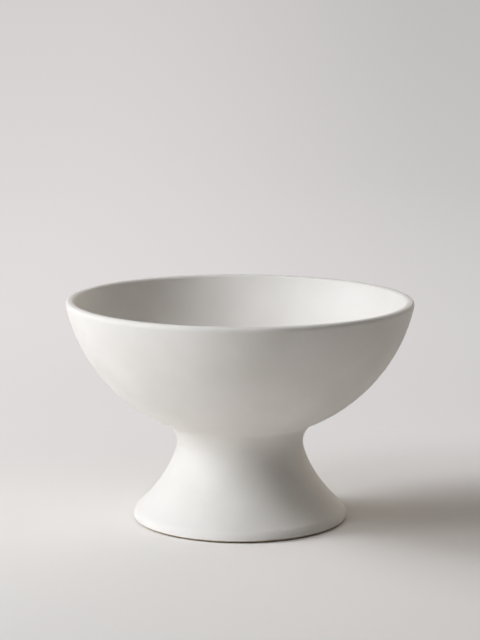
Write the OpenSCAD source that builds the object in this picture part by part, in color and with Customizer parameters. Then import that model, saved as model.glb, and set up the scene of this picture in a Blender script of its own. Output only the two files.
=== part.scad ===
// Footed compote bowl in matt white glazed stoneware.
// A deep round bowl stands on a hollow flared pedestal. A ring turned under the bowl drops into
// the top of the pedestal, wet clay slip fills the joint, and a soft clay coil is pressed into the
// corner outside and smoothed to a fillet. Pads under the foot lift it off the tabletop.
// The origin is on the tabletop under the middle of the foot, and +Z points up.

/* [Overall] */
// Diameter across the outside of the lip
rim_d = 250; // [220:1:290]
// Height from the tabletop to the top of the lip
overall_h = 160.5; // [148:0.5:185]
// Diameter of the narrowest part of the pedestal
neck_d = 91.5; // [80:0.5:104]
// Diameter across the widest part of the foot
foot_d = 155; // [140:1:180]

/* [Bowl] */
// Thickness of the wall at the lip, which is rounded to a half circle
lip_t = 6.2; // [4.6:0.1:8]
// Thickness of the floor at the middle
floor_t = 8; // [6.6:0.1:11]
// Angle between the outside of the wall and upright, just under the lip
lip_lean = 12; // [7:0.5:18]
// Radius of the flat at the middle of the floor
floor_flat_r = 7; // [3:0.5:14]
// Height of the ring turned under the bowl
ring_h = 5; // [3:0.25:7]
// Distance that the ring stands in past the inside of the pedestal
ring_lap = 0.8; // [0.4:0.1:2]

/* [Luted joint] */
// Thickness of the slip between the bowl and the pedestal
slip_t = 0.6; // [0.3:0.1:1.2]
// Distance that squeezed-out slip is wiped down the inside of the pedestal
slip_wipe_h = 2.4; // [1:0.2:5]
// Depth of the scraped band that the coil beds in
coil_bed = 1.2; // [0.8:0.1:2]
// Radius of the fillet that the coil is smoothed to
coil_fillet_r = 17.5; // [12:0.5:22]

/* [Pedestal] */
// Width of the land on top of the pedestal that carries the bowl
seat_w = 4; // [3:0.25:6]
// Width of the ledge inside it that the bowl's ring stands on
ledge_w = 3.8; // [2.6:0.2:6]
// Angle between the flare and upright where it runs into the toe
toe_slope = 47; // [42:1:52]
// Radius of the rounded toe
toe_r = 8.5; // [6:0.5:10.5]
// Radius of the outer edge under the toe
toe_edge_r = 1; // [0.5:0.1:1.6]
// Width of the flat land under the foot
foot_land_w = 9; // [7:0.5:12]
// Radius of the inner edge of that land
land_edge_r = 1.6; // [0.8:0.2:2.4]

/* [Foot pads] */
// Thickness of a pad
pad_t = 0.8; // [0.5:0.1:2]
// Distance from a pad to each edge of the land
pad_inset = 1; // [0.5:0.1:2]
// Direction of the first pad, in degrees from +X
pad_turn = 45; // [0:5:90]

/* [Hidden] */
$fn = 120;

// Largest distance between a curve and the straight pieces that draw it
curve_dev = 0.02;
pad_count = 4;

// How far the flare's outside leaves the neck, and comes up from the toe, along its end directions
flare_neck_share = 0.14;
flare_toe_share = 0.62;
// The same for the inside of the pedestal, and the slope with which it meets the land
hollow_neck_share = 0.12;
hollow_toe_share = 0.55;
hollow_slope = 46;

function unit(v) = v / norm(v);
function at_angle(c, r, a) = c + r * [cos(a), sin(a)];
function arc_steps(r, sweep) = ceil(abs(sweep) / (2 * acos(1 - curve_dev / r)));

// Points of an arc about c from angle a0 to a1, both ends included
function arc(c, r, a0, a1) =
    let (steps = arc_steps(r, a1 - a0))
    [for (i = [0:steps]) at_angle(c, r, a0 + (a1 - a0) * i / steps)];

// Points of a cubic curve from p0 to p3 that heads for p1 and arrives from p2
function curve(p0, p1, p2, p3, steps) =
    [for (i = [0:steps]) let (s = i / steps, u = 1 - s)
        u * u * u * p0 + 3 * u * u * s * p1 + 3 * u * s * s * p2 + s * s * s * p3];

function reversed(pts) = [for (i = [len(pts) - 1:-1:0]) pts[i]];

// Angle, below the horizontal, at which an arc about c with radius r is at distance x from the axis
function dip_at(c, r, x) = -acos((x - c[0]) / r);

// Outside of the bowl: one arc about a centre on the axis side, tangent to the round lip
lip_r = lip_t / 2;
lip_c = [rim_d / 2 - lip_r, overall_h - lip_r];
bowl_r = lip_r + (lip_c[0] - floor_flat_r) / cos(lip_lean);
bowl_c = [floor_flat_r, lip_c[1] + (bowl_r - lip_r) * sin(lip_lean)];
bowl_base_z = bowl_c[1] - bowl_r;

// Inside of the bowl: one arc that is tangent to the lip and lies floor_t above the underside
inside_reach = lip_c[0] - floor_flat_r;
inside_drop = lip_c[1] - bowl_base_z - floor_t;
inside_r = (pow(inside_reach, 2) + pow(inside_drop, 2) - pow(lip_r, 2)) / (2 * (inside_drop + lip_r));
inside_c = [floor_flat_r, bowl_base_z + floor_t + inside_r];
inside_lean = asin((inside_c[1] - lip_c[1]) / (inside_r + lip_r));

// Fillet of the coil: tangent to the bowl's outside and upright where it meets the neck
neck_r = neck_d / 2;
fillet_x = neck_r + coil_fillet_r;
fillet_c = [fillet_x,
            bowl_c[1] - sqrt(pow(bowl_r + coil_fillet_r, 2) - pow(fillet_x - bowl_c[0], 2))];
neck_z = fillet_c[1];
to_bowl = unit(bowl_c - fillet_c);
fillet_top_a = atan2(to_bowl[1], to_bowl[0]);
coil_top_a = fillet_top_a - 180;

// Under the pedestal the bowl is scraped back by the depth of the coil's bed
scraped_r = bowl_r - coil_bed;
seat_r = scraped_r + slip_t;
stem_r = neck_r - coil_bed;
socket_r = stem_r - seat_w;
stem_in_r = socket_r - ledge_w;
ring_out_r = socket_r - slip_t;
ring_in_r = stem_in_r - ring_lap;
ring_top_z = at_angle(bowl_c, scraped_r, dip_at(bowl_c, scraped_r, ring_out_r))[1];
ring_z = ring_top_z - ring_h;
ledge_z = ring_z - slip_t;

// Foot
foot_r = foot_d / 2;
toe_c = [foot_r - toe_r, pad_t + toe_edge_r];
flare_end = at_angle(toe_c, toe_r, toe_slope);
flare_h = neck_z - flare_end[1];
land_out_r = foot_r - toe_edge_r;
land_in_r = land_out_r - foot_land_w;
land_edge_c = [land_in_r, pad_t + land_edge_r];
hollow_end = at_angle(land_edge_c, land_edge_r, hollow_slope - 180);
hollow_h = neck_z - hollow_end[1];
pad_r = foot_land_w / 2 - pad_inset;

// Stretches of outline that two pieces share
function coil_bed_line() =
    arc(bowl_c, scraped_r, coil_top_a, dip_at(bowl_c, scraped_r, stem_r));
function slip_top_line() =
    arc(bowl_c, scraped_r, dip_at(bowl_c, scraped_r, stem_r), dip_at(bowl_c, scraped_r, ring_out_r));
function seat_line() =
    arc(bowl_c, seat_r, dip_at(bowl_c, seat_r, stem_r), dip_at(bowl_c, seat_r, socket_r));

// Outline of half the bowl's section, from the lip down the outside and back up the inside
function bowl_outline() = concat(
    reversed(arc(lip_c, lip_r, -lip_lean, 180 - inside_lean)),
    arc(bowl_c, bowl_r, -lip_lean, coil_top_a),
    coil_bed_line(),
    slip_top_line(),
    [[ring_out_r, ring_z], [ring_in_r, ring_z]],
    arc(bowl_c, scraped_r, dip_at(bowl_c, scraped_r, ring_in_r), -90),
    [[0, bowl_c[1] - scraped_r], [0, bowl_base_z + floor_t]],
    arc(inside_c, inside_r, -90, -inside_lean));

// Outline of half the pedestal's section, from the seat down the outside and back up the hollow
function pedestal_outline() = concat(
    reversed(seat_line()),
    [[stem_r, neck_z]],
    curve([neck_r, neck_z],
          [neck_r, neck_z - flare_neck_share * flare_h],
          flare_end + flare_toe_share * flare_h * [-sin(toe_slope), cos(toe_slope)],
          flare_end, 24),
    arc(toe_c, toe_r, toe_slope, 0),
    arc([land_out_r, toe_c[1]], toe_edge_r, 0, -90),
    arc(land_edge_c, land_edge_r, -90, hollow_slope - 180),
    curve(hollow_end,
          hollow_end + hollow_toe_share * hollow_h * [-sin(hollow_slope), cos(hollow_slope)],
          [stem_in_r, neck_z - hollow_neck_share * hollow_h],
          [stem_in_r, neck_z], 20),
    [[stem_in_r, ledge_z], [socket_r, ledge_z]]);

module bowl() {
    color("white")
        rotate_extrude()
            polygon(bowl_outline());
}

module pedestal_foot() {
    color("ivory")
        rotate_extrude()
            polygon(pedestal_outline());
}

// Thin body of slip between seat and underside, round the ring, and wiped down inside
module luting_slip() {
    color("lightgray")
        rotate_extrude()
            polygon(concat(
                slip_top_line(),
                [[ring_out_r, ring_z], [ring_in_r, ring_z], [ring_in_r, ledge_z]],
                [[stem_in_r, ledge_z - slip_wipe_h], [stem_in_r, ledge_z], [socket_r, ledge_z]],
                reversed(seat_line())));
}

// Coil worked into the corner between the pedestal's stem and the bowl's underside
module neck_coil() {
    color("whitesmoke")
        rotate_extrude()
            polygon(concat(
                arc(fillet_c, coil_fillet_r, 180, fillet_top_a),
                coil_bed_line(),
                [[stem_r, neck_z]]));
}

module foot_pad(number) {
    color("gainsboro")
        rotate([0, 0, pad_turn + (number - 1) * 360 / pad_count])
            translate([land_out_r - foot_land_w / 2, 0, 0])
                cylinder(h = pad_t, r = pad_r);
}

bowl();
pedestal_foot();
luting_slip();
neck_coil();
for (number = [1:pad_count])
    foot_pad(number);
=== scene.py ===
"""Footed compote bowl in matt white glazed stoneware: its pieces, the stage, the light and the camera.

Metres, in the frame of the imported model: +Z up, origin on the tabletop under the middle of the foot.
"""
import math

import bpy
import numpy as np
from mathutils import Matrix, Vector


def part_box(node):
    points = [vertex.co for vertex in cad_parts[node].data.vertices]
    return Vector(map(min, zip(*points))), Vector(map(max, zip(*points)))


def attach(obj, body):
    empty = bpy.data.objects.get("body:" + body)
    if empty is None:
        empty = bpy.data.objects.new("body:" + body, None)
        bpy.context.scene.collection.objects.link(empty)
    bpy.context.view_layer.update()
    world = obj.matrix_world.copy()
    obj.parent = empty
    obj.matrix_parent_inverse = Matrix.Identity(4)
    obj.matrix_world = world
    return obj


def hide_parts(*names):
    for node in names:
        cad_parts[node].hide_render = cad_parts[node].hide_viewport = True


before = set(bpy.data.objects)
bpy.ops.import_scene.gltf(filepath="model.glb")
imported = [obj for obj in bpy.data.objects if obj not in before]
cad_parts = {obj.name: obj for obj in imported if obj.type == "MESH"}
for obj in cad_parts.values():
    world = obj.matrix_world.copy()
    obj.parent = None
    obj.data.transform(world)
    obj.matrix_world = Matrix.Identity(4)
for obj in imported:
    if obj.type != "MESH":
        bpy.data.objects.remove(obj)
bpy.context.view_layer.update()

# Bowl
# A deep round bowl, thrown on the wheel in pale stoneware and turned when leather hard. Its wall thins
# a little up to a full-round lip, and a low ring under it drops into the top of the pedestal.
MM = 0.001
lip_t = 6.2 * MM
floor_t = 8 * MM
lip_lean = math.radians(12)
lip_square_out = 0.12
lip_square_in = 0.06
floor_flat_r = 7 * MM
neck_r = 45.75 * MM
coil_bed = 1.2 * MM
seat_w = 4 * MM
ledge_w = 3.8 * MM
slip_t = 0.6 * MM
ring_lap = 0.8 * MM
bowl_low, bowl_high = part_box("bowl")
rim_r = bowl_high.x
rim_z = bowl_high.z
ring_z = bowl_low.z
coil_top_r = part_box("neck_coil")[1].x

# The outside is one arc that runs tangent into the lip, and the inside another
lip_r = lip_t / 2
lip_c = np.array([rim_r - lip_r, rim_z - lip_r])
bowl_r = lip_r + (lip_c[0] - floor_flat_r) / math.cos(lip_lean)
bowl_c = np.array([floor_flat_r, lip_c[1] + (bowl_r - lip_r) * math.sin(lip_lean)])
base_z = bowl_c[1] - bowl_r
inside_reach = lip_c[0] - floor_flat_r
inside_drop = lip_c[1] - base_z - floor_t
inside_r = (inside_reach**2 + inside_drop**2 - lip_r**2) / (2 * (inside_drop + lip_r))
inside_c = np.array([floor_flat_r, base_z + floor_t + inside_r])
inside_lean = math.asin((inside_c[1] - lip_c[1]) / (inside_r + lip_r))
scraped_r = bowl_r - coil_bed

# The ring drops into the socket on top of the stem, with slip round it, and laps in past the ledge there
stem_r = neck_r - coil_bed
socket_r = stem_r - seat_w
stem_in_r = socket_r - ledge_w
ring_out_r = socket_r - slip_t
ring_in_r = stem_in_r - ring_lap


def crowded(rows):
    """Shares from 0 to 1 that lie closer together towards both ends, where a stretch joins the next:
    half of one less the cosine of an angle that makes half a turn in equal steps."""
    return (1 - np.cos(np.linspace(0, math.pi, rows))) / 2


def arc(centre, radius, start, end, rows):
    """Points of an arc: the centre, plus the radius times the cosine and the sine of an angle that
    runs from start to end."""
    angle = start + (end - start) * crowded(rows)
    return centre + radius * np.stack([np.cos(angle), np.sin(angle)], axis=1)


def dip(centre, radius, distance):
    """The angle below the level, as a negative one, at which an arc is that far from the axis."""
    return -math.acos((distance - centre[0]) / radius)


def lip_round(start, end, rows):
    """The lip's section: an arc whose radius grows, above the level of its centre, by a share of the
    squared sine of twice its angle. The crown is then nearly flat between a firm outer shoulder and a
    softer inner one."""
    angle = start + (end - start) * crowded(rows)
    square = np.where(angle < math.pi / 2, lip_square_out, lip_square_in) * (angle > 0)
    radius = lip_r * (1 + square * np.sin(2 * angle) ** 2)
    return lip_c + radius[:, None] * np.stack([np.cos(angle), np.sin(angle)], axis=1)


# Points closer together than this are one point
same_place = 0.0001 * MM


def chain(*stretches):
    """One outline from stretches that follow each other, each point where two of them join kept once."""
    points = np.concatenate([np.reshape(s, (-1, 2)) for s in stretches])
    apart = np.linalg.norm(np.diff(points, axis=0), axis=1) > same_place
    return points[np.concatenate([[True], apart])]


def carried_round(outline, steps):
    """An outline of (distance from the axis, height) carried round the axis in equal steps: distance,
    height and angle, as arrays with a row for each point and a column for each step."""
    distance = np.repeat(outline[:, :1], steps, axis=1)
    height = np.repeat(outline[:, 1:], steps, axis=1)
    angle = np.tile(np.linspace(0, 2 * math.pi, steps, endpoint=False), (len(outline), 1))
    return distance, height, angle


# The soft wall slackens a little on the wheel head, most at the rim
oval_in = 0.22 * MM
trefoil_in = 0.1 * MM
rim_drop = 0.8 * MM
oval_turn = math.radians(80)
trefoil_turn = math.radians(60)
drop_turn = math.radians(15)


def slackened(distance, height, angle):
    """A round wall gone slightly out of true. It draws in by an oval, the cosine of twice the angle, and
    a trefoil, the cosine of three times the angle, and leans by a cosine of the angle, each measured
    from its own crest. All grow from nothing at the foot, the first two with height and the lean with
    its cube."""
    grown = height / rim_z
    oval = oval_in * (1 + np.cos(2 * (angle - oval_turn))) / 2
    trefoil = trefoil_in * (1 + np.cos(3 * (angle - trefoil_turn))) / 2
    drop = rim_drop * (1 + np.cos(angle - drop_turn)) / 2
    return distance * (1 - grown * (oval + trefoil) / rim_r), height - grown**3 * drop, angle


# Edges where the faces turn by more than this stay sharp
crease = math.radians(30)


def skin(name, distance, height, angle, centre=(0, 0)):
    """A mesh over such arrays: each point lies at its distance times the cosine and the sine of its
    angle from the centre, at its height. Four-sided faces join each row to the next, and the last
    column to the first. An outline that starts and ends on the axis is closed there by two fans of
    triangles, and any other is closed by joining its last row to its first."""
    across = centre[0] + distance * np.cos(angle)
    along = centre[1] + distance * np.sin(angle)
    grid = np.stack([across, along, height], axis=2)
    has_poles = distance[0, 0] == 0
    rings = grid[1:-1] if has_poles else grid
    rows, steps = rings.shape[:2]
    here = np.arange(rows * steps).reshape(rows, steps)
    aside = np.roll(here, -1, axis=1)
    points = rings.reshape(-1, 3)
    if has_poles:
        quads = np.stack([here[:-1], aside[:-1], aside[1:], here[1:]], axis=2)
        first = np.full(steps, rows * steps)
        points = np.concatenate([points, grid[0, :1], grid[-1, :1]])
        fans = np.concatenate([np.stack([first, aside[0], here[0]], axis=1),
                               np.stack([here[-1], aside[-1], first + 1], axis=1)]).tolist()
    else:
        quads = np.stack([here, aside, np.roll(aside, -1, axis=0), np.roll(here, -1, axis=0)], axis=2)
        fans = []
    mesh = bpy.data.meshes.new(name)
    mesh.from_pydata(points.tolist(), [], quads.reshape(-1, 4).tolist() + fans)
    mesh.shade_smooth()
    mesh.set_sharp_from_angle(angle=crease)
    piece = bpy.data.objects.new(name, mesh)
    bpy.context.scene.collection.objects.link(piece)
    return piece


# The outline runs from the axis out along the underside, up the outside, over the lip and down inside
round_steps = 320
scraped_top_a = dip(bowl_c, bowl_r, coil_top_r)
bowl_outline = chain(
    [0, bowl_c[1] - scraped_r],
    arc(bowl_c, scraped_r, -math.pi / 2, dip(bowl_c, scraped_r, ring_in_r), rows=24),
    [[ring_in_r, ring_z], [ring_out_r, ring_z]],
    arc(bowl_c, scraped_r, dip(bowl_c, scraped_r, ring_out_r), scraped_top_a, rows=12),
    arc(bowl_c, bowl_r, scraped_top_a, -lip_lean, rows=84),
    lip_round(-lip_lean, math.pi - inside_lean, rows=64),
    arc(inside_c, inside_r, -inside_lean, -math.pi / 2, rows=96),
    [0, base_z + floor_t])
bowl = skin("thrown_bowl", *slackened(*carried_round(bowl_outline, round_steps)))


def linear(hex_colour):
    """An sRGB colour written as #RRGGBB, as the linear colour that a shader takes."""
    srgb = np.array([int(hex_colour[i:i + 2], 16) for i in (1, 3, 5)]) / 255
    return (*np.where(srgb <= 0.04045, srgb / 12.92, ((srgb + 0.055) / 1.055) ** 2.4), 1.0)


def add_node(tree, kind, inputs=None, **settings):
    """Adds a node with its settings. An input that is given another node's output is linked to it, and
    any other input is set."""
    node = tree.nodes.new(kind)
    for name, value in settings.items():
        setattr(node, name, value)
    for name, value in (inputs or {}).items():
        if isinstance(value, bpy.types.NodeSocket):
            tree.links.new(value, node.inputs[name])
        else:
            node.inputs[name].default_value = value
    return node


# A Mix node takes its share and its two colours at these inputs
MIX_SHARE, MIX_A, MIX_B = 0, 6, 7

# Matt white stoneware glaze, dipped and fired to a smooth eggshell face. The eye gets an even warm
# white with no gloss, faint clouds where the coat is thicker, and a very fine grain. At the foot the
# glaze is wiped off to a slightly wavering line, and the pale buff clay under it shows. The real grain
# is finer still, and is drawn at half a millimetre so that a close view shows it.
glaze_white = "#F0EDE8"
glaze_cloud = "#EBE8E2"
clay_buff = "#C9B8A0"
clay_dark = "#A8937A"
glaze_rough = 0.6
clay_rough = 0.9
glaze_ior = 1.5
cloud_size = 45 * MM
cloud_detail = 3.0
cloud_from = 0.35
cloud_to = 0.65
grain_size = 0.5 * MM
grain_detail = 3.0
grain_depth = 0.07 * MM
ripple_size = 7 * MM
ripple_depth = 0.18 * MM
glaze_line_z = 1.5 * MM
glaze_line_waver = 0.5 * MM
glaze_line_soft = 0.1 * MM
grog_size = 0.7 * MM
grog_detail = 4.0
grog_from = 0.45
grog_to = 0.7


def glaze_material():
    """Colour, roughness and bump of the glaze and of the bare clay below the glaze line."""
    material = bpy.data.materials.new("matt_white_stoneware_glaze")
    material.use_nodes = True
    tree = material.node_tree
    shader = tree.nodes["Principled BSDF"]
    place = add_node(tree, "ShaderNodeTexCoord").outputs["Object"]
    clouds = add_node(tree, "ShaderNodeTexNoise",
                      {"Vector": place, "Scale": 1 / cloud_size, "Detail": cloud_detail})
    cloud_share = add_node(tree, "ShaderNodeMapRange",
                           {"Value": clouds.outputs[0], "From Min": cloud_from, "From Max": cloud_to})
    glaze = add_node(tree, "ShaderNodeMix",
                     {MIX_SHARE: cloud_share.outputs[0], MIX_A: linear(glaze_white),
                      MIX_B: linear(glaze_cloud)},
                     data_type="RGBA")
    grog = add_node(tree, "ShaderNodeTexNoise",
                    {"Vector": place, "Scale": 1 / grog_size, "Detail": grog_detail})
    grog_share = add_node(tree, "ShaderNodeMapRange",
                          {"Value": grog.outputs[0], "From Min": grog_from, "From Max": grog_to})
    clay = add_node(tree, "ShaderNodeMix",
                    {MIX_SHARE: grog_share.outputs[0], MIX_A: linear(clay_buff), MIX_B: linear(clay_dark)},
                    data_type="RGBA")
    # Height above the tabletop, pushed up and down by a slow noise, against the glaze line
    height = add_node(tree, "ShaderNodeSeparateXYZ", {"Vector": place}).outputs["Z"]
    waver = add_node(tree, "ShaderNodeTexNoise", {"Vector": place, "Scale": 1 / ripple_size})
    line = add_node(tree, "ShaderNodeMapRange",
                    {"Value": waver.outputs[0], "To Min": glaze_line_z - glaze_line_waver,
                     "To Max": glaze_line_z + glaze_line_waver})
    above = add_node(tree, "ShaderNodeMath", {0: height, 1: line.outputs[0]}, operation="SUBTRACT")
    glazed = add_node(tree, "ShaderNodeMapRange",
                      {"Value": above.outputs[0], "From Min": -glaze_line_soft,
                       "From Max": glaze_line_soft})
    colour = add_node(tree, "ShaderNodeMix",
                      {MIX_SHARE: glazed.outputs[0], MIX_A: clay.outputs[2], MIX_B: glaze.outputs[2]},
                      data_type="RGBA")
    rough = add_node(tree, "ShaderNodeMapRange",
                     {"Value": glazed.outputs[0], "To Min": clay_rough, "To Max": glaze_rough})
    grain = add_node(tree, "ShaderNodeTexNoise",
                     {"Vector": place, "Scale": 1 / grain_size, "Detail": grain_detail})
    grain_bump = add_node(tree, "ShaderNodeBump", {"Height": grain.outputs[0], "Distance": grain_depth})
    ripple_bump = add_node(tree, "ShaderNodeBump",
                           {"Height": waver.outputs[0], "Distance": ripple_depth,
                            "Normal": grain_bump.outputs[0]})
    shader.inputs["IOR"].default_value = glaze_ior
    tree.links.new(colour.outputs[2], shader.inputs["Base Color"])
    tree.links.new(rough.outputs[0], shader.inputs["Roughness"])
    tree.links.new(ripple_bump.outputs[0], shader.inputs["Normal"])
    return material


glaze = glaze_material()
bowl.data.materials.append(glaze)
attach(bowl, "root")
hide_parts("bowl")

# Pedestal foot
# A hollow flared stem, thrown upside down and trimmed: rounded toe, flat land to stand on, and on top
# a seat and an inner ledge cut to the bowl's underside and ring. Same glaze, wiped from the land.
toe_slope = math.radians(47)
toe_r = 8.5 * MM
toe_edge_r = 1 * MM
foot_land_w = 9 * MM
land_edge_r = 1.6 * MM
hollow_slope = math.radians(46)
flare_neck_share = 0.14
flare_toe_share = 0.62
hollow_neck_share = 0.12
hollow_toe_share = 0.55
foot_low, foot_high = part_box("pedestal_foot")
foot_r = foot_high.x
land_z = foot_low.z
neck_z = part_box("neck_coil")[0].z

seat_r = scraped_r + slip_t
ledge_z = ring_z - slip_t
toe_c = np.array([foot_r - toe_r, land_z + toe_edge_r])
land_out_r = foot_r - toe_edge_r
land_in_r = land_out_r - foot_land_w
land_edge_c = np.array([land_in_r, land_z + land_edge_r])


def cubic(start, first_pull, last_pull, end, rows):
    """Points of a cubic curve: its four points, weighted by the terms of (rest + share) cubed, as the
    share runs from 0 to 1 and the rest is what is left of 1."""
    share = crowded(rows)[:, None]
    rest = 1 - share
    return (rest**3 * np.array(start) + 3 * rest**2 * share * np.array(first_pull)
            + 3 * rest * share**2 * np.array(last_pull) + share**3 * np.array(end))


def heading(slope):
    """Unit direction inwards and upwards at that angle from upright."""
    return np.array([-math.sin(slope), math.cos(slope)])


flare_end = toe_c + toe_r * np.array([math.cos(toe_slope), math.sin(toe_slope)])
flare_h = neck_z - flare_end[1]
hollow_end = land_edge_c - land_edge_r * np.array([math.cos(hollow_slope), math.sin(hollow_slope)])
hollow_h = neck_z - hollow_end[1]

# The outline runs from the land out round the toe, up the flare and in over the seat, then down inside
pedestal_out = chain(
    np.linspace([land_in_r, land_z], [land_out_r, land_z], num=12),
    arc([land_out_r, toe_c[1]], toe_edge_r, -math.pi / 2, 0, rows=14),
    arc(toe_c, toe_r, 0, toe_slope, rows=24),
    cubic(flare_end, flare_end + flare_toe_share * flare_h * heading(toe_slope),
          [neck_r, neck_z - flare_neck_share * flare_h], [neck_r, neck_z], rows=80),
    [stem_r, neck_z],
    arc(bowl_c, seat_r, dip(bowl_c, seat_r, stem_r), dip(bowl_c, seat_r, socket_r), rows=6),
    [[socket_r, ledge_z], [stem_in_r, ledge_z]])
pedestal_in = chain(
    cubic([stem_in_r, neck_z], [stem_in_r, neck_z - hollow_neck_share * hollow_h],
          hollow_end + hollow_toe_share * hollow_h * heading(hollow_slope), hollow_end, rows=80),
    arc(land_edge_c, land_edge_r, hollow_slope - math.pi, -math.pi / 2, rows=14)[:-1])
pedestal_outline = chain(pedestal_out, pedestal_in)

# The hollow keeps the shallow spiral that fingers leave on the wheel: a cosine that makes one turn for
# each pitch of height and one for each turn of the angle, and fades out towards the toe and the neck
spiral_pitch = 6.5 * MM
spiral_depth = 0.16 * MM
spiral_from_z = 6 * MM
spiral_fade_h = 8 * MM
distance, height, angle = carried_round(pedestal_outline, round_steps)
in_hollow = np.arange(len(pedestal_outline))[:, None] >= len(pedestal_out)
toe_fade = np.clip((height - spiral_from_z) / spiral_fade_h, 0, 1)
neck_fade = np.clip((neck_z - height) / spiral_fade_h, 0, 1)
turns = height / spiral_pitch + angle / (2 * math.pi)
spiral = spiral_depth * (1 + np.cos(2 * math.pi * turns)) / 2
distance = distance + in_hollow * toe_fade * neck_fade * spiral
pedestal = skin("thrown_pedestal", *slackened(distance, height, angle))
pedestal.data.materials.append(glaze)
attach(pedestal, "root")
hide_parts("pedestal_foot")

# Luting slip
# The clay slip that joins the two while they are leather hard. It fills the joint round the ring, and
# what squeezes out inside the hollow is wiped down with a finger and fires to bare buff clay.
slip_wipe_h = ledge_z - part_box("luting_slip")[0].z
slip_wipe_pull = 0.35
slip_uneven = 0.3
slip_grain_depth = 0.08 * MM
slip_corner = np.array([stem_in_r, ledge_z])
wipe_top = np.array([ring_in_r, ledge_z])
wipe_end = np.array([stem_in_r, ledge_z - slip_wipe_h])
slip_outline = chain(
    wipe_end, slip_corner, [socket_r, ledge_z],
    arc(bowl_c, seat_r, dip(bowl_c, seat_r, socket_r), dip(bowl_c, seat_r, stem_r), rows=6),
    arc(bowl_c, scraped_r, dip(bowl_c, scraped_r, stem_r), dip(bowl_c, scraped_r, ring_out_r), rows=6),
    [[ring_out_r, ring_z], [ring_in_r, ring_z]],
    cubic(wipe_top, wipe_top + slip_wipe_pull * (slip_corner - wipe_top),
          wipe_end + slip_wipe_pull * (slip_corner - wipe_end), wipe_end, rows=10)[:-1])

# The wiped edge wavers: below the ledge it shortens by a cosine of three and one of seven times the angle
distance, height, angle = carried_round(slip_outline, round_steps)
waver = slip_uneven * (2 + np.cos(3 * angle) + np.cos(7 * angle + 1)) / 4
height = np.where(height < ledge_z, ledge_z - (ledge_z - height) * (1 - waver), height)
slip = skin("fired_slip_joint", *slackened(distance, height, angle))


def clay_material():
    """Stoneware slip fired without glaze. The eye gets dry matt buff clay, mottled and made slightly
    rough by its darker grog."""
    material = bpy.data.materials.new("bare_fired_stoneware_slip")
    material.use_nodes = True
    tree = material.node_tree
    shader = tree.nodes["Principled BSDF"]
    place = add_node(tree, "ShaderNodeTexCoord").outputs["Object"]
    grog = add_node(tree, "ShaderNodeTexNoise",
                    {"Vector": place, "Scale": 1 / grog_size, "Detail": grog_detail})
    colour = add_node(tree, "ShaderNodeMix",
                      {MIX_SHARE: grog.outputs[0], MIX_A: linear(clay_buff), MIX_B: linear(clay_dark)},
                      data_type="RGBA")
    bump = add_node(tree, "ShaderNodeBump", {"Height": grog.outputs[0], "Distance": slip_grain_depth})
    shader.inputs["Roughness"].default_value = clay_rough
    tree.links.new(colour.outputs[2], shader.inputs["Base Color"])
    tree.links.new(bump.outputs[0], shader.inputs["Normal"])
    return material


slip.data.materials.append(clay_material())
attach(slip, "root")
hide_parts("luting_slip")

# Neck coil
# A soft clay coil pressed into the corner outside the joint and smoothed with a wet finger, so that
# the bowl's underside runs into the stem in one fillet. It is glazed over with them.
coil_fillet_r = 17.5 * MM
fillet_c = np.array([neck_r + coil_fillet_r, neck_z])
fillet_top_a = math.atan2(*(bowl_c - fillet_c)[::-1])
coil_outline = chain(
    arc(fillet_c, coil_fillet_r, math.pi, fillet_top_a, rows=56),
    arc(bowl_c, scraped_r, scraped_top_a, dip(bowl_c, scraped_r, stem_r), rows=12),
    [stem_r, neck_z])
coil = skin("smoothed_coil", *slackened(*carried_round(coil_outline, round_steps)))
coil.data.materials.append(glaze)
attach(coil, "root")
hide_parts("neck_coil")

# Foot pads
# Four small discs of grey wool felt, punched from self-adhesive sheet and stuck to the bare land, so
# that the foot doesn't scratch the table.
felt_grey = "#8E8A84"
felt_light = "#A6A29B"
felt_steps = 64
felt_edge = 0.12 * MM
felt_fluff = 0.14 * MM
fibre_size = 0.35 * MM
fibre_detail = 5.0
fibre_twist = 2.0
nap_depth = 0.15 * MM
felt_rough = 0.95
felt_sheen = 0.3
pad_names = sorted(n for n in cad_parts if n.startswith("foot_pad_"))


def felt_material():
    """Pressed wool felt. The eye gets a matt nap in two greys with a faint sheen. Real fibres are about
    a tenth as wide as the twisted noise here, which is coarse enough to show in a close view."""
    material = bpy.data.materials.new("grey_wool_felt")
    material.use_nodes = True
    tree = material.node_tree
    shader = tree.nodes["Principled BSDF"]
    place = add_node(tree, "ShaderNodeTexCoord").outputs["Object"]
    fibres = add_node(tree, "ShaderNodeTexNoise",
                      {"Vector": place, "Scale": 1 / fibre_size, "Detail": fibre_detail,
                       "Distortion": fibre_twist})
    colour = add_node(tree, "ShaderNodeMix",
                      {MIX_SHARE: fibres.outputs[0], MIX_A: linear(felt_grey), MIX_B: linear(felt_light)},
                      data_type="RGBA")
    bump = add_node(tree, "ShaderNodeBump", {"Height": fibres.outputs[0], "Distance": nap_depth})
    shader.inputs["Roughness"].default_value = felt_rough
    shader.inputs["Sheen Weight"].default_value = felt_sheen
    tree.links.new(colour.outputs[2], shader.inputs["Base Color"])
    tree.links.new(bump.outputs[0], shader.inputs["Normal"])
    return material


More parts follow.
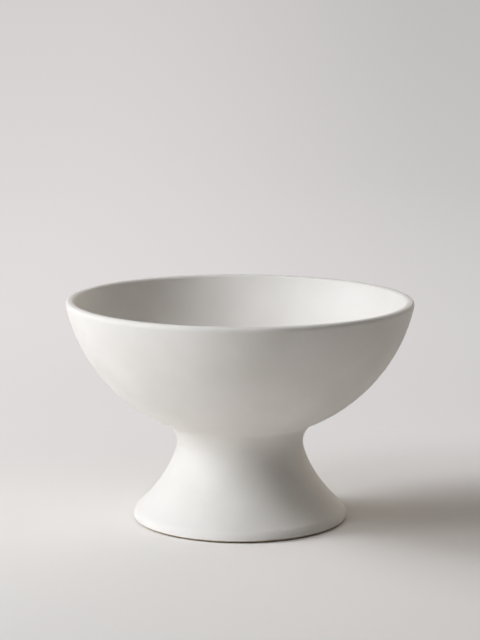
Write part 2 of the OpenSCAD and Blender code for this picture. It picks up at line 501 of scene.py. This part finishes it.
felt = felt_material()
pads = []
for number, node_name in enumerate(pad_names):
    pad_low, pad_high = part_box(node_name)
    pad_r = (pad_high.x - pad_low.x) / 2
    pad_t = pad_high.z - pad_low.z
    pad_outline = chain(
        np.linspace([0, 0], [pad_r - felt_edge, 0], num=6),
        arc([pad_r - felt_edge, felt_edge], felt_edge, -math.pi / 2, 0, rows=5),
        arc([pad_r - felt_edge, pad_t - felt_edge], felt_edge, 0, math.pi / 2, rows=5),
        np.linspace([pad_r - felt_edge, pad_t], [0, pad_t], num=6))
    distance, height, angle = carried_round(pad_outline, felt_steps)
    # The edge is uneven: each point's distance shrinks in proportion by a random part of the fluff
    fluff = np.random.default_rng(number).random(distance.shape)
    distance = distance * (1 - felt_fluff * fluff / pad_r)
    pad = skin(f"felt_pad_{number + 1}", distance, height, angle, ((pad_low + pad_high) / 2)[:2])
    pad.data.materials.append(felt)
    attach(pad, "root")
    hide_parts(node_name)
    pads.append(pad)

# Stage
# A sweep of pale matt paper, flat underneath and turned up into a wall all round, outside the lamps. Near
# the object it takes their light and the shadow. Farther out the eye sees a painted tone it fades to, with
# painted light and shade in it.
paper_white = "#F2F0ED"
paper_rough = 0.9
paper_specular = 0.2
# The far tone is painted light: paler on the left, toward the lamps, and painted shade towards the right
sweep_lit_left = "#E3DEDE"
sweep_shaded_right = "#CCCAC9"
sweep_shade_from = -0.35
sweep_shade_to = 0.55
floor_r = 2.4
turn_up_r = 0.8
wall_h = 1.6
paper_t = 10 * MM
fade_from = 0.16
fade_to = 0.4
fade_centre_y = -0.1
fade_squash_x = 0.4
# Painted shade in the far tone: it falls with distance and height, and is dimmer close to the object
fall_with_distance = 0.04
fall_with_height = 0.16
dim_near = 0.04
dim_from = 0.4
dim_to = 0.95


def seen_directly(tree):
    """One for a ray from the eye and for one that a gloss or glass sends on, and nought for the rest."""
    ray = add_node(tree, "ShaderNodeLightPath")
    mirrored = add_node(tree, "ShaderNodeMath",
                        {0: ray.outputs["Is Camera Ray"], 1: ray.outputs["Is Glossy Ray"]},
                        operation="MAXIMUM")
    return add_node(tree, "ShaderNodeMath",
                    {0: mirrored.outputs[0], 1: ray.outputs["Is Transmission Ray"]},
                    operation="MAXIMUM").outputs[0]


def paper_material():
    """Matt white paper. Beyond an oval round the object and its shadow, a ray from the eye, or one that a
    gloss or glass sends on, sees it turn into a painted tone that stands in for the lamps' light. It is
    paler on the left, toward the lamps, and has painted shade that falls with distance and with height and
    makes it a little dimmer close to the object."""
    material = bpy.data.materials.new("matt_paper_sweep")
    material.use_nodes = True
    tree = material.node_tree
    paper = tree.nodes["Principled BSDF"]
    paper.inputs["Base Color"].default_value = linear(paper_white)
    paper.inputs["Roughness"].default_value = paper_rough
    paper.inputs["Specular IOR Level"].default_value = paper_specular
    place = add_node(tree, "ShaderNodeTexCoord").outputs["Object"]
    apart = add_node(tree, "ShaderNodeSeparateXYZ", {"Vector": place})
    distance = add_node(tree, "ShaderNodeVectorMath", {0: place}, operation="LENGTH").outputs["Value"]
    across = add_node(tree, "ShaderNodeMapRange",
                      {"Value": apart.outputs["X"], "From Min": sweep_shade_from,
                       "From Max": sweep_shade_to},
                      interpolation_type="SMOOTHSTEP")
    # Painted light across the sweep: the lit colour on the left, the shaded one on the right
    tone = add_node(tree, "ShaderNodeMix",
                    {MIX_SHARE: across.outputs[0], MIX_A: linear(sweep_lit_left), MIX_B: linear(sweep_shaded_right)},
                    data_type="RGBA")
    far = add_node(tree, "ShaderNodeMath",
                   {0: distance, 1: -fall_with_distance, 2: 1 + fall_with_distance},
                   operation="MULTIPLY_ADD")
    level = add_node(tree, "ShaderNodeMath",
                     {0: apart.outputs["Z"], 1: -fall_with_height, 2: far.outputs[0]},
                     operation="MULTIPLY_ADD")
    dim = add_node(tree, "ShaderNodeMapRange",
                   {"Value": distance, "From Min": dim_from, "From Max": dim_to, "To Min": 1 - dim_near},
                   interpolation_type="SMOOTHSTEP")
    strength = add_node(tree, "ShaderNodeMath", {0: level.outputs[0], 1: dim.outputs[0]},
                        operation="MULTIPLY")
    # The far tone, with its painted light and shade, glows for the eye
    even = add_node(tree, "ShaderNodeEmission",
                    {"Color": tone.outputs[2], "Strength": strength.outputs[0]})
    oval = add_node(tree, "ShaderNodeVectorMath",
                    {0: place, 1: (fade_squash_x, 1, 1), 2: (0, -fade_centre_y, 0)},
                    operation="MULTIPLY_ADD")
    reach = add_node(tree, "ShaderNodeVectorMath", {0: oval.outputs[0]}, operation="LENGTH")
    out_there = add_node(tree, "ShaderNodeMapRange",
                         {"Value": reach.outputs["Value"], "From Min": fade_from, "From Max": fade_to},
                         interpolation_type="SMOOTHSTEP")
    seen = seen_directly(tree)
    share = add_node(tree, "ShaderNodeMath", {0: seen, 1: out_there.outputs[0]}, operation="MULTIPLY")
    both = add_node(tree, "ShaderNodeMixShader",
                    {0: share.outputs[0], 1: paper.outputs[0], 2: even.outputs[0]})
    tree.links.new(both.outputs[0], tree.nodes["Material Output"].inputs["Surface"])
    return material


paper = paper_material()
floor = skin("paper_floor", *carried_round(
    chain([0, -paper_t], [floor_r, -paper_t], [floor_r, 0], [0, 0]), round_steps))
turn_up = arc([floor_r, turn_up_r], turn_up_r, -math.pi / 2, 0, rows=24)
wall_in = chain(turn_up, [floor_r + turn_up_r, wall_h])
wall = skin("paper_wall", *carried_round(
    chain(wall_in[::-1], [floor_r, -paper_t], [floor_r + turn_up_r + paper_t, -paper_t],
          [floor_r + turn_up_r + paper_t, wall_h]), round_steps))

# The wall sends no light back to the object, and hides no part of the room from it
wall.visible_diffuse = False
wall.visible_shadow = False
for sheet in (floor, wall):
    sheet.data.materials.append(paper)

# Light
# A tall soft box at the left front and a square one high on the left light the pieces. Three others light
# the paper, through light linking, so that the shadow runs straight to the right and stays soft. The
# room is dim: a warm glow low behind the object on the right, and the ceiling.
lamp_aim_z = 0.08
lit_pieces = bpy.data.collections.new("lit_pieces")
lit_paper = bpy.data.collections.new("lit_paper")
for piece in (bowl, pedestal, slip, coil, *pads):
    lit_pieces.objects.link(piece)
for sheet in (floor, wall):
    lit_paper.objects.link(sheet)

# A box stands this many degrees round to the left from the front and this many up from the floor, that
# many metres away from the middle of the object, which it faces. Its width and height are in metres.
soft_boxes = {
    "tall_soft_box": {"lights": lit_pieces, "turn": 69, "rise": 28, "away": 2.5, "across": 0.35, "up": 1.9,
                      "watts": 51.6, "colour": (0.972, 1.0, 1.05)},
    "high_soft_box": {"lights": lit_pieces, "turn": 90, "rise": 60, "away": 2.4, "across": 0.8, "up": 0.8,
                      "watts": 4.3, "colour": (1.02, 1.0, 1.1)},
    "side_soft_box": {"lights": lit_paper, "turn": 92, "rise": 26, "away": 2.5, "across": 0.5, "up": 0.8,
                      "watts": 23.6, "colour": (0.98, 1.0, 1.04)},
    "wide_soft_box": {"lights": lit_paper, "turn": 100, "rise": 30, "away": 2.2, "across": 1.2, "up": 0.36,
                      "watts": 18.1, "colour": (0.98, 1.0, 1.055)},
    "front_soft_box": {"lights": lit_paper, "turn": 60, "rise": 35, "away": 2.5, "across": 0.6, "up": 0.6,
                       "watts": 12.4, "colour": (1.01, 1.0, 1.02)},
}
for name, box in soft_boxes.items():
    lamp = bpy.data.lights.new(name, "AREA")
    lamp.shape = "RECTANGLE"
    lamp.size = box["across"]
    lamp.size_y = box["up"]
    lamp.energy = box["watts"]
    lamp.color = box["colour"]
    turn = math.radians(box["turn"])
    rise = math.radians(box["rise"])
    soft_box = bpy.data.objects.new(name, lamp)
    back = Vector((-math.cos(rise) * math.sin(turn), -math.cos(rise) * math.cos(turn), math.sin(rise)))
    soft_box.location = back * box["away"] + Vector((0, 0, lamp_aim_z))
    soft_box.rotation_euler = back.to_track_quat("Z", "Y").to_euler()
    soft_box.visible_camera = False
    soft_box.light_linking.receiver_collection = box["lights"]
    bpy.context.scene.collection.objects.link(soft_box)

# The room's light depends on the direction of a ray, which goes from -1 to 1 along each axis, and grows
# from none to full over these stretches of it
behind_from = 0.3
behind_to = 0.8
right_from = -0.3
right_to = 0.3
low_from = 0.55
low_to = 0.25
overhead_from = 0.6
overhead_to = 0.9
glow_level = 1.88
glow_colour = (1.13, 1.0, 0.87)
ceiling_level = 0.427
ceiling_colour = (1.05, 1.0, 0.95)
world = bpy.data.worlds.new("room")
world.use_nodes = True
tree = world.node_tree
apart = add_node(tree, "ShaderNodeSeparateXYZ",
                 {"Vector": add_node(tree, "ShaderNodeTexCoord").outputs["Generated"]})
behind = add_node(tree, "ShaderNodeMapRange",
                  {"Value": apart.outputs["Y"], "From Min": behind_from, "From Max": behind_to},
                  interpolation_type="SMOOTHSTEP")
rightwards = add_node(tree, "ShaderNodeMapRange",
                      {"Value": apart.outputs["X"], "From Min": right_from, "From Max": right_to},
                      interpolation_type="SMOOTHSTEP")
low = add_node(tree, "ShaderNodeMapRange",
               {"Value": apart.outputs["Z"], "From Min": low_from, "From Max": low_to},
               interpolation_type="SMOOTHSTEP")
overhead = add_node(tree, "ShaderNodeMapRange",
                    {"Value": apart.outputs["Z"], "From Min": overhead_from, "From Max": overhead_to},
                    interpolation_type="SMOOTHSTEP")
corner = add_node(tree, "ShaderNodeMath", {0: behind.outputs[0], 1: rightwards.outputs[0]},
                  operation="MULTIPLY")
glow_share = add_node(tree, "ShaderNodeMath", {0: corner.outputs[0], 1: low.outputs[0]},
                      operation="MULTIPLY")
glow_strength = add_node(tree, "ShaderNodeMath", {0: glow_share.outputs[0], 1: glow_level},
                         operation="MULTIPLY")
ceiling_strength = add_node(tree, "ShaderNodeMath", {0: overhead.outputs[0], 1: ceiling_level},
                            operation="MULTIPLY")
glow = add_node(tree, "ShaderNodeBackground",
                {"Color": (*glow_colour, 1), "Strength": glow_strength.outputs[0]})
ceiling = add_node(tree, "ShaderNodeBackground",
                   {"Color": (*ceiling_colour, 1), "Strength": ceiling_strength.outputs[0]})
room = add_node(tree, "ShaderNodeAddShader", {0: glow.outputs[0], 1: ceiling.outputs[0]})
# A ray from the eye that misses the paper sees the painted shade of the sweep's right side
plain = tree.nodes["Background"]
plain.inputs["Color"].default_value = linear(sweep_shaded_right)
whole = add_node(tree, "ShaderNodeMixShader",
                 {0: seen_directly(tree), 1: room.outputs[0], 2: plain.outputs[0]})
tree.links.new(whole.outputs[0], tree.nodes["World Output"].inputs["Surface"])
bpy.context.scene.world = world

# Camera
# A long lens a metre and a half in front of the object, above its rim and looking slightly down. An
# unturned camera looks straight down, and one turned by a quarter of a circle looks level.
lens_mm = 116.59
eye_y = -1.47204
eye_z = 0.39161
down_degrees = 9.529
camera_data = bpy.data.cameras.new("camera")
camera_data.lens = lens_mm
camera = bpy.data.objects.new("camera", camera_data)
camera.location = (0, eye_y, eye_z)
camera.rotation_euler = (math.radians(90 - down_degrees), 0, 0)
bpy.context.scene.collection.objects.link(camera)
bpy.context.scene.camera = camera
bpy.context.scene.view_settings.view_transform = "Standard"
